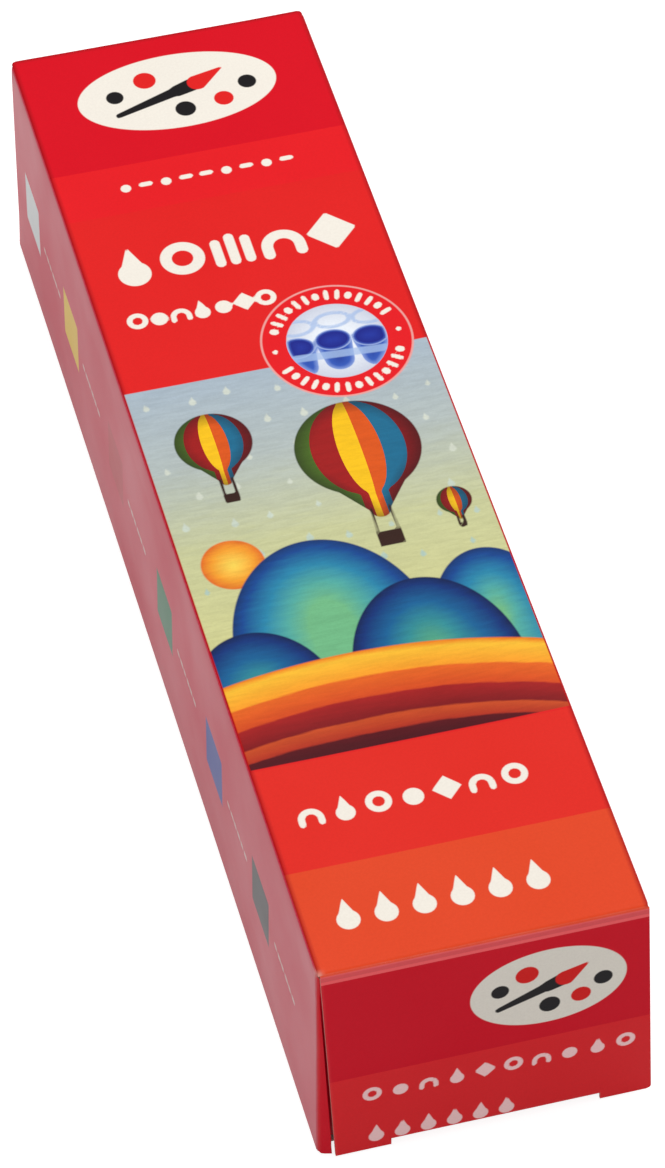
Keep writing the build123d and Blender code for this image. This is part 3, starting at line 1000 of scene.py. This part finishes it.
def picture_colour(tree, down):
    """The landscape's colours, laid one over another like paint on canvas."""
    strokes = noise(tree, 4.0, 4.0, 0.55, stretch=(60, 300, 60))
    place = mapped(tree, down, *PICTURE)
    waver = mapped(tree, strokes, 0, 1, -0.03, 0.03)
    wash = calculate(tree, "ADD", place, waver)
    colour = ramp(tree, wash, [
        (0.0, (0.66, 0.72, 0.77)), (0.22, (0.70, 0.74, 0.73)), (0.45, (0.78, 0.79, 0.60)), (0.8, (0.83, 0.82, 0.55)),
    ])
    tint = ramp(tree, place, [(0.3, (0.84, 0.86, 0.80)), (0.55, (0.66, 0.78, 0.76))])
    colour = ink(tree, colour, tint, "drops", 0.15, 0.8)
    for name, reach, wander, stops in (
        ("sun", 5.0, 0.4, [(0.0, (0.88, 0.42, 0.14)), (0.35, (0.95, 0.62, 0.18)), (1.0, (0.98, 0.84, 0.34))]),
        ("far_hills", 13.0, 0.45, [
            (0.0, (0.07, 0.20, 0.42)), (0.12, (0.08, 0.28, 0.56)), (0.4, (0.16, 0.52, 0.66)),
            (0.7, (0.32, 0.66, 0.62)), (1.0, (0.44, 0.72, 0.52)),
        ]),
        ("near_hills", 13.0, 0.45, [
            (0.0, (0.05, 0.12, 0.30)), (0.12, (0.06, 0.20, 0.46)), (0.4, (0.09, 0.38, 0.58)),
            (0.7, (0.20, 0.55, 0.58)), (1.0, (0.32, 0.64, 0.52)),
        ]),
        ("fields", 20.0, 0.2, [
            (0.0, (0.92, 0.45, 0.10)), (0.06, (0.97, 0.74, 0.20)), (0.25, (0.97, 0.62, 0.16)),
            (0.27, (0.90, 0.40, 0.13)), (0.46, (0.84, 0.30, 0.12)), (0.48, (0.64, 0.12, 0.12)),
            (0.67, (0.50, 0.08, 0.10)), (0.69, (0.78, 0.30, 0.14)), (0.82, (0.70, 0.20, 0.12)),
            (0.84, (0.34, 0.05, 0.09)), (1.0, (0.26, 0.04, 0.08)),
        ]),
    ):
        colour = ink(tree, colour, shaded(tree, name, reach, stops, strokes, wander), name, 0.15)
    bags = attribute(tree, "bags")
    gores = ramp(tree, mapped(tree, attribute(tree, "gore"), -1, 1), [
        (0.0, (0.30, 0.42, 0.14)), (0.13, (0.62, 0.10, 0.10)), (0.34, (0.97, 0.76, 0.10)), (0.52, (0.86, 0.34, 0.10)),
        (0.68, (0.12, 0.42, 0.56)), (0.87, (0.50, 0.08, 0.10)),
    ], "CONSTANT")
    shade = mapped(tree, bags, 0.0, 3.0, 0.62, 0.0)
    gores = blended(tree, shade, gores, linear((0.09, 0.05, 0.06)))
    colour = ink(tree, colour, gores, bags, 0.12)
    colour = ink(tree, colour, (0.20, 0.11, 0.08), "baskets", 0.12)
    weave = noise(tree, 1.0, 3.0, 0.6, stretch=(240, 1500, 240))
    return blended(tree, mapped(tree, weave, 0.35, 0.65, 0.0, 0.28), colour, (0.62, 0.62, 0.62, 1), "MULTIPLY")


def roundel_colour(tree, colour):
    """The roundel over the print below it: its pale rim, its red ring and its window."""
    colours = bpy.context.scene.print_colours
    disc_depth = attribute(tree, "roundel")
    colour = ink(tree, colour, (0.90, 0.62, 0.60), disc_depth)
    colour = ink(tree, colour, colours.middle_red, calculate(tree, "SUBTRACT", disc_depth, 0.35))
    window = attribute(tree, "window")
    back = ramp(tree, mapped(tree, window, 0.0, 8.0), [(0.0, (0.78, 0.80, 0.86)), (0.6, (0.90, 0.92, 0.95))])
    colour = ink(tree, colour, back, window)
    for name, reach, stops in (
        ("pot_walls", 2.8, [(0.0, (0.50, 0.60, 0.84)), (0.3, (0.20, 0.34, 0.70)), (1.0, (0.12, 0.22, 0.58))]),
        ("pot_paint", 2.3, [(0.0, (0.66, 0.74, 0.90)), (0.16, (0.20, 0.30, 0.66)), (0.3, (0.10, 0.14, 0.52)),
                            (1.0, (0.13, 0.20, 0.60))]),
    ):
        depth = attribute(tree, name)
        colour = ink(tree, colour, ramp(tree, mapped(tree, depth, 0.0, reach), stops), depth)
    return ink(tree, colour, (0.62, 0.72, 0.88), "pot_lids", 0.15, 0.75)


def top_colour(tree):
    """Bands, picture, roundel and marks of the top panel."""
    colours = bpy.context.scene.print_colours
    down = attribute(tree, "down")
    lower_red = tuple(0.75 * a + 0.25 * b for a, b in zip(colours.bright_red, colours.orange))
    inks = (colours.deep_red, colours.middle_red, colours.bright_red, colours.bright_red, lower_red, colours.orange)
    share = mapped(tree, down, 0.0, 2 * END)
    colour = ramp(tree, share, [(band / (2 * END), tone) for band, tone in zip(BANDS, inks)], "CONSTANT")
    # Painted shade along the folds: darker red within about a millimetre of the top panel's left, right and far edges.
    from_fold = attribute(tree, "fold")
    colour = ink(tree, colour, colours.painted_fold_shade, calculate(tree, "ADD", from_fold, 0.5), 0.55)
    inside = calculate(tree, "SUBTRACT", -0.4, from_fold)
    framed = calculate(tree, "MINIMUM", attribute(tree, "picture"), inside)
    colour = ink(tree, colour, picture_colour(tree, down), framed)
    return marked(tree, roundel_colour(tree, colour), colours.cream)


def marked(tree, colour, pale):
    """The pale, black and red marks that lie over everything else."""
    colours = bpy.context.scene.print_colours
    for over, shape in ((pale, "cream"), (colours.ink, "marks"), (colours.bright_red, "dabs")):
        colour = ink(tree, colour, over, shape)
    return colour


def end_colour(tree):
    """Two crimson bands with the near closure's marks. Over the top bend the print runs orange, then pale red that is
    partly thinned ink and partly painted highlight; the lower band is print lightened by painted bounce light.
    """
    colours = bpy.context.scene.print_colours
    share = mapped(tree, attribute(tree, "down"), 0.0, TOP)
    # Painted highlight over the near bend: orange, a slightly darker pale red, then the pale red, partly thinned ink
    # on the fold.
    over_bend = tuple(0.92 * value for value in colours.bend_pale_and_highlit)
    bands = ramp(tree, share, [
        (0.0, colours.orange), (0.5 / TOP, over_bend), (1.5 / TOP, colours.bend_pale_and_highlit), (2.1 / TOP, colours.crimson),
        # Lower band: print, lightened further as painted bounce light from the floor.
        (25.6 / TOP, colours.lower_band_and_bounce_light),
    ], "CONSTANT")
    pale = ramp(tree, share, [(0.0, colours.cream), (22.0 / TOP, colours.pink)], "CONSTANT")
    return marked(tree, bands, pale)


def side_colour(tree):
    """The left panel's six colour squares."""
    colours = bpy.context.scene.print_colours
    paints = bpy.context.scene.paint_colours
    tones = [getattr(paints, name) for name in PAINTS]
    square = ramp(
        tree, mapped(tree, attribute(tree, "which"), 0.0, 5.0),
        [(max(0.0, (n - 0.5) / 5), tone) for n, tone in enumerate(tones)], "CONSTANT",
    )
    cool = blended(tree, 0.16, plain_print(tree), linear((0.70, 0.10, 0.46)))
    colour = ink(tree, cool, square, "swatch", 0.25)
    return ink(tree, colour, colours.cream, "cream", 0.2, 0.7)


def board_material(name, tone, dark, layers):
    """Bare board: grey pulp with fibres, and fine layers where it is cut."""
    if name in bpy.data.materials:
        return bpy.data.materials[name]
    material, tree = new_material(name)
    fibres = noise(tree, 900.0, 6.0, 0.65, stretch=(1.0, 0.35, 1.0))
    specks = noise(tree, layers, 3.0, 0.6)
    colour = ramp(tree, mapped(tree, fibres, 0.3, 0.7), [(0.0, dark), (1.0, tone)])
    colour = blended(tree, mapped(tree, specks, 0.55, 0.8, 0.0, 0.35), colour, linear(dark))
    surface(tree, colour, mapped(tree, fibres, 0.3, 0.7, 0.75, 0.9), fibres, 0.3, 0.00005)
    return material


def inner_board_material():
    """The board's unprinted grey-white side."""
    return board_material("Inner board", (0.82, 0.80, 0.76), (0.74, 0.71, 0.66), 160.0)


def raw_edge_material():
    """The board's cut edges."""
    return board_material("Raw edge", (0.88, 0.62, 0.58), (0.78, 0.45, 0.42), 2400.0)


def paint_behind(tree, plastic):
    """Milky wall over the paint in its pot: the colour follows Y, from the near pot to the far one."""
    paints = bpy.context.scene.paint_colours
    where = add(tree, "ShaderNodeSeparateXYZ", {0: add(tree, "ShaderNodeTexCoord").outputs["Object"]})
    tones = [getattr(paints, name) for name in reversed(PAINTS)]
    share = mapped(tree, where.outputs["Y"], -POT_SPAN * MM, POT_SPAN * MM)
    paint = ramp(tree, share, [(n / len(tones), tone) for n, tone in enumerate(tones)], "CONSTANT")
    over_floor = mapped(tree, where.outputs["Z"], 2.2 * MM, 3.2 * MM, 0.0, 0.62)
    under_brim = mapped(tree, where.outputs["Z"], 35.6 * MM, 36.6 * MM, 1.0, 0.0)
    seen = calculate(tree, "MULTIPLY", over_floor, under_brim)
    return blended(tree, seen, plastic, paint)


def moulded_plastic(name, tone, transmission, filled=False):
    """Milky moulded plastic: faint flow marks in its colour and gloss."""
    if name in bpy.data.materials:
        return bpy.data.materials[name]
    material, tree = new_material(name)
    flow = noise(tree, 60.0, 4.0, 0.5, stretch=(1, 1, 0.3))
    grain = noise(tree, 1400.0, 2.0, 0.5)
    colour = ramp(tree, flow, [(0.35, tuple(0.93 * c for c in tone)), (0.65, tone)])
    colour = paint_behind(tree, colour) if filled else colour
    shader = surface(tree, colour, mapped(tree, flow, 0.3, 0.7, 0.22, 0.34), grain, 0.08, 0.00005)
    shader.inputs["Transmission Weight"].default_value = transmission
    shader.inputs["IOR"].default_value = 1.49
    return material


def gouache_material(name, tone):
    """Thick matte paint with a faint skin of ripples."""
    label = name.capitalize() + " gouache"
    if label in bpy.data.materials:
        return bpy.data.materials[label]
    material, tree = new_material(label)
    ripple = noise(tree, 180.0, 3.0, 0.55)
    colour = ramp(tree, ripple, [(0.35, tuple(0.86 * c for c in tone)), (0.6, tone)])
    surface(tree, colour, mapped(tree, ripple, 0.3, 0.7, 0.38, 0.55), ripple, 0.35, 0.0004)
    return material


def dress(node, material):
    """Give a CAD node one material in place of its own."""
    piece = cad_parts[node]
    piece.data.materials.clear()
    piece.data.materials.append(material)


# Stage


LAMP_AIM = Vector((0.0, 0.0, 0.02))


def add_lamp(name, size, power, place):
    """Square soft lamp that faces the box."""
    data = bpy.data.lights.new(name, "AREA")
    data.size = size
    data.energy = power
    lamp = new_object(name, data)
    lamp.location = place
    lamp.rotation_euler = (LAMP_AIM - Vector(place)).to_track_quat("-Z", "Y").to_euler()


def seen_rays(tree):
    """One for camera, mirror and glass rays, and zero for light that falls on the object."""
    path = add(tree, "ShaderNodeLightPath")
    seen = path.outputs["Is Camera Ray"]
    for ray in ("Is Glossy Ray", "Is Transmission Ray"):
        seen = calculate(tree, "MAXIMUM", seen, path.outputs[ray])
    return seen


def floor_material():
    """White floor that takes soft shadows, with a glow for camera, mirror and glass rays that grows outwards.

    From below it is clear, so that the underside can be seen.
    """
    material, tree = new_material("Floor")
    tree.nodes.clear()
    paper = add(tree, "ShaderNodeBsdfDiffuse", {"Color": (0.42, 0.42, 0.42, 1)})
    away = add(tree, "ShaderNodeVectorMath", {0: placed(tree)}, operation="LENGTH").outputs["Value"]
    strength = mapped(tree, away, 0.12, 0.6, 0.82, 0.97)
    glow = add(tree, "ShaderNodeEmission", {"Color": (1, 1, 1, 1), "Strength": strength})
    none = add(tree, "ShaderNodeEmission", {"Color": (0, 0, 0, 1), "Strength": 0.0})
    lift = add(tree, "ShaderNodeMixShader", {0: seen_rays(tree), 1: none.outputs[0], 2: glow.outputs[0]})
    both = add(tree, "ShaderNodeAddShader", {0: paper.outputs[0], 1: lift.outputs[0]})
    below = add(tree, "ShaderNodeNewGeometry").outputs["Backfacing"]
    clear = add(tree, "ShaderNodeBsdfTransparent")
    sided = add(tree, "ShaderNodeMixShader", {0: below, 1: both.outputs[0], 2: clear.outputs[0]})
    add(tree, "ShaderNodeOutputMaterial", {"Surface": sided.outputs[0]})
    return material


def light_world(strength):
    """Even light from all round, white where the camera, a mirror or glass sees it."""
    world = bpy.data.worlds.new("Studio")
    bpy.context.scene.world = world
    world.use_nodes = True
    tree = world.node_tree
    tree.nodes.clear()
    around = add(tree, "ShaderNodeBackground", {"Color": (1, 1, 1, 1), "Strength": strength})
    seen = add(tree, "ShaderNodeBackground", {"Color": (1, 1, 1, 1), "Strength": 1.0})
    both = add(tree, "ShaderNodeMixShader", {0: seen_rays(tree), 1: around.outputs[0], 2: seen.outputs[0]})
    add(tree, "ShaderNodeOutputWorld", {"Surface": both.outputs[0]})


CAMERA_AIM = Vector((1.69, -9.06, TOP / 2)) * MM
FLOOR_REACH = 4.0
FLOOR_DROP = 0.0001


class PAINTBOX_OT_camera(bpy.types.Operator):
    """Sets the camera at the photograph's angle."""

    bl_idname = "paintbox.camera"
    bl_label = "Camera"

    def execute(self, context):
        stage = context.scene.stage_settings
        data = bpy.data.cameras.new("Camera")
        data.sensor_width = 36
        data.lens = stage.lens
        data.clip_start, data.clip_end = 0.05, 20
        camera = new_object("Camera", data)
        level = math.cos(stage.elevation)
        back = Vector((level * math.sin(stage.azimuth), -level * math.cos(stage.azimuth), math.sin(stage.elevation)))
        camera.location = CAMERA_AIM + back * stage.distance
        turn = (-back).to_track_quat("-Z", "Y")
        camera.rotation_euler = (turn @ Euler((0, 0, stage.roll)).to_quaternion()).to_euler()
        context.scene.camera = camera
        return {"FINISHED"}


class PAINTBOX_OT_sleeve(bpy.types.Operator):
    """Builds the top, side and bottom panels and the glue flap."""

    bl_idname = "paintbox.sleeve"
    bl_label = "Sleeve"

    def execute(self, context):
        shape = context.scene.box_shape
        plain = plain_material()
        coarse = 4 * shape.pitch
        for node, patches, material, flip in (
            ("top_panel", top_patches(shape.pitch, shape.warp, top_print),
             print_material("Top print", top_colour, 0.7, 0.05), False),
            ("left_panel", side_patches(shape.pitch, shape.warp, side_print, bulge=shape.corner_bulge),
             print_material("Side print", side_colour, 0.6, 0.18), False),
            ("right_panel", mirrored(side_patches(coarse, shape.warp, None, False)), plain, True),
            ("bottom_panel", bottom_patches(coarse), plain, True),
            ("glue_flap", glue_patches(coarse), plain, False),
        ):
            add_board(node, "carton", patches, material, flip)
        return {"FINISHED"}


class PAINTBOX_OT_closures(bpy.types.Operator):
    """Builds both end closures with their tuck flaps."""

    bl_idname = "paintbox.closures"
    bl_label = "Closures"

    def execute(self, context):
        shape = context.scene.box_shape
        plain = plain_material()
        coarse = 2 * shape.pitch
        for node, patches, material in (
            # The near closure's crease marks are a pinker pale: rubbed ink and painted highlight on its bends and
            # edge.
            ("near_closure", ajar(closure_patches(shape.pitch, end_print, LEAN, SHOULDER_Z)),
             print_material("End print", end_colour, 0.5, 0.08, (0.99, 0.5, 0.5))),
            ("near_tuck_flap", ajar(tuck_patches(coarse, LEAN), 1 / 3), plain),
            ("far_closure", turned_over(closure_patches(coarse, None, 0.0, FAR_SHOULDER_Z)), plain),
            ("far_tuck_flap", turned_over(tuck_patches(coarse)), plain),
        ):
            add_board(node, node, patches, material)
        return {"FINISHED"}


class PAINTBOX_OT_dust_flaps(bpy.types.Operator):
    """Builds the four dust flaps."""

    bl_idname = "paintbox.dust_flaps"
    bl_label = "Dust flaps"

    def execute(self, context):
        shape = context.scene.box_shape
        plain = plain_material()
        shut = dust_patches(shape.pitch, 0.0)
        for node, patches, flip in (
            ("near_left_dust_flap", dust_ajar(dust_patches(shape.pitch, shape.corner_bulge), shape.ajar / 2), False),
            ("near_right_dust_flap", mirrored(dust_ajar(shut, shape.ajar / 2)), True),
            ("far_left_dust_flap", turned_over(shut), False),
            ("far_right_dust_flap", turned_over(mirrored(shut)), True),
        ):
            add_board(node, node, patches, plain, flip)
        return {"FINISHED"}


class PAINTBOX_OT_pots(bpy.types.Operator):
    """Dresses the strip of pots, its lids and the paint."""

    bl_idname = "paintbox.pots"
    bl_label = "Pots and paint"

    def execute(self, context):
        dress("pot_strip", moulded_plastic("Pot plastic", (0.93, 0.94, 0.95), 0.0, filled=True))
        lid = moulded_plastic("Lid plastic", (0.95, 0.96, 0.97), 0.7)
        for name in PAINTS:
            dress(name + "_lid", lid)
            dress(name + "_paint", gouache_material(name, tuple(getattr(context.scene.paint_colours, name))))
        return {"FINISHED"}


class PAINTBOX_OT_stage(bpy.types.Operator):
    """Adds the floor, the lamps and the world."""

    bl_idname = "paintbox.stage"
    bl_label = "Stage"

    def execute(self, context):
        stage = context.scene.stage_settings
        mesh = bpy.data.meshes.new("Floor")
        corners = [(x * FLOOR_REACH, y * FLOOR_REACH, 0) for x, y in ((-1, -1), (1, -1), (1, 1), (-1, 1))]
        mesh.from_pydata(corners, [], [(0, 1, 2, 3)])
        mesh.materials.append(floor_material())
        floor = new_object("Floor", mesh)
        floor.location.z = -FLOOR_DROP
        add_lamp("Key lamp", 0.9, stage.key, (0.25, 0.35, 1.1))
        add_lamp("Fill lamp", 0.8, stage.fill, (-0.3, -1.1, 0.7))
        light_world(stage.world)
        return {"FINISHED"}


class PAINTBOX_PT_panel(bpy.types.Panel):
    """Lists the builders of the box and their settings."""

    bl_idname = "PAINTBOX_PT_panel"
    bl_label = "Paint Box"
    bl_space_type = "VIEW_3D"
    bl_region_type = "UI"
    bl_category = "Paint Box"

    def draw(self, context):
        for operator in OPERATORS:
            self.layout.operator(operator.bl_idname)
        for group in SETTINGS:
            settings = getattr(context.scene, group)
            for key in settings.__annotations__:
                self.layout.prop(settings, key)


OPERATORS = (PAINTBOX_OT_camera, PAINTBOX_OT_sleeve, PAINTBOX_OT_closures, PAINTBOX_OT_dust_flaps,
             PAINTBOX_OT_pots, PAINTBOX_OT_stage)
SETTINGS = {"box_shape": BoxShape, "print_colours": PrintColours, "paint_colours": PaintColours,
            "stage_settings": StageSettings}


def register():
    """Register the classes and hang the settings on the scene."""
    for kind in (*SETTINGS.values(), *OPERATORS, PAINTBOX_PT_panel):
        bpy.utils.register_class(kind)
    for name, kind in SETTINGS.items():
        setattr(bpy.types.Scene, name, PointerProperty(type=kind))


def unregister():
    """Take the settings and classes away again."""
    for name in SETTINGS:
        delattr(bpy.types.Scene, name)
    for kind in (PAINTBOX_PT_panel, *OPERATORS, *SETTINGS.values()):
        bpy.utils.unregister_class(kind)


def main():
    """Build everything in order."""
    register()
    bpy.context.scene.view_settings.view_transform = "Standard"
    for operator in OPERATORS:
        group, name = operator.bl_idname.split(".")
        getattr(getattr(bpy.ops, group), name)()


if __name__ == "__main__":
    main()
